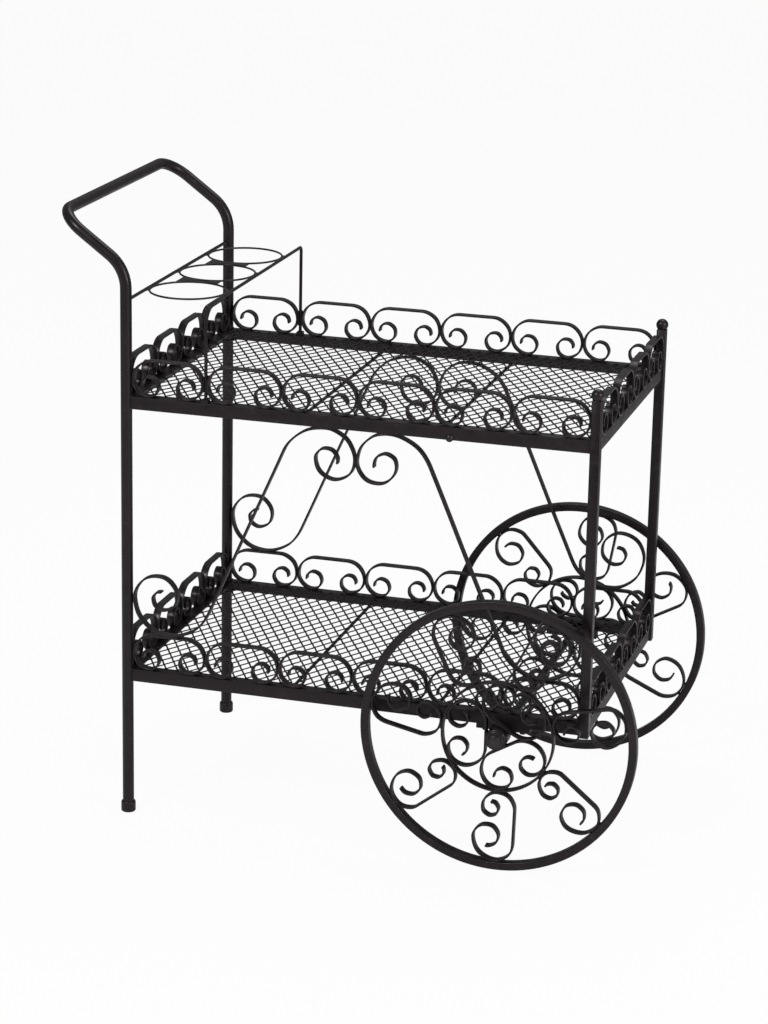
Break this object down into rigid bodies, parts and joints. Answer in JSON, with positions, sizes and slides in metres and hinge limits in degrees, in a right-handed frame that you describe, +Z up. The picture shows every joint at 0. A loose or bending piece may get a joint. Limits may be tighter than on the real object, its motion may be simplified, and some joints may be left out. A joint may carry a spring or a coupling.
{
  "type": "garden flower cart",
  "caption": "Two-tier wrought-iron garden flower cart with scrollwork galleries, lyre sides, a pot-ring rack, a bent tube push handle and large scrollwork wheels.",
  "frame": {"origin": "on the floor, under the middle of the object's bounding box", "axes": "+X from the push handle towards the two wheels, +Y from the front long side to the back long side, +Z up"},
  "size_m": [0.895, 0.5648, 0.9225],
  "materials": {
    "tube_paint": "semi-gloss brown-black paint",
    "strip_paint": "semi-gloss brown-black paint on bent strip",
    "mesh_paint": "semi-gloss black paint on expanded mesh",
    "wheel_paint": "semi-gloss brown-black paint",
    "axle_steel": "painted steel fasteners and axle"
  },
  "bodies": {
    "cart": {"handle_frame": "tube_paint", "foot_cap_front": "tube_paint", "foot_cap_back": "tube_paint", "wheel_post_front": "tube_paint", "wheel_post_back": "tube_paint", "finial_front": "tube_paint", "finial_back": "tube_paint", "upper_tray_rim": "tube_paint", "upper_tray_mesh": "mesh_paint", "upper_tray_rods": "tube_paint", "lower_tray_rim": "tube_paint", "lower_tray_mesh": "mesh_paint", "lower_tray_rods": "tube_paint", "upper_gallery_front": "strip_paint", "upper_gallery_back": "strip_paint", "upper_gallery_handle_end": "strip_paint", "upper_gallery_wheel_end": "strip_paint", "lower_gallery_front": "strip_paint", "lower_gallery_back": "strip_paint", "lower_gallery_handle_end": "strip_paint", "lower_gallery_wheel_end": "strip_paint", "lyre_front_handle_side": "strip_paint", "lyre_front_wheel_side": "strip_paint", "lyre_back_handle_side": "strip_paint", "lyre_back_wheel_side": "strip_paint", "ring_rack_rail": "tube_paint", "ring_rack_frame": "tube_paint", "ring_rack_feet": "tube_paint", "pot_ring_front": "tube_paint", "pot_ring_middle": "tube_paint", "pot_ring_back": "tube_paint", "ring_web_front": "tube_paint", "ring_web_back": "tube_paint", "rail_bolt": "axle_steel", "axle": "axle_steel", "axle_clamp_bolts": "axle_steel", "axle_saddle_front": "tube_paint", "axle_strap_front": "tube_paint", "axle_collar_front": "axle_steel", "axle_washer_front": "axle_steel", "axle_cap_front": "axle_steel", "axle_saddle_back": "tube_paint", "axle_strap_back": "tube_paint", "axle_collar_back": "axle_steel", "axle_washer_back": "axle_steel", "axle_cap_back": "axle_steel"},
    "wheel_front": {"wheel_rim_front": "wheel_paint", "wheel_inner_ring_front": "wheel_paint", "wheel_outer_scrolls_front": "wheel_paint", "wheel_hub_scrolls_front": "wheel_paint", "wheel_hub_front": "wheel_paint"},
    "wheel_back": {"wheel_rim_back": "wheel_paint", "wheel_inner_ring_back": "wheel_paint", "wheel_outer_scrolls_back": "wheel_paint", "wheel_hub_scrolls_back": "wheel_paint", "wheel_hub_back": "wheel_paint"}
  },
  "joints": [
    {"name": "wheel_front_spin", "type": "hinge", "parent": "cart", "child": "wheel_front", "pos_m": [0.2425, -0.2556, 0.205], "axis": [0, 1, 0], "continuous": true},
    {"name": "wheel_back_spin", "type": "hinge", "parent": "cart", "child": "wheel_back", "pos_m": [0.2425, 0.2556, 0.205], "axis": [0, 1, 0], "continuous": true}
  ]
}
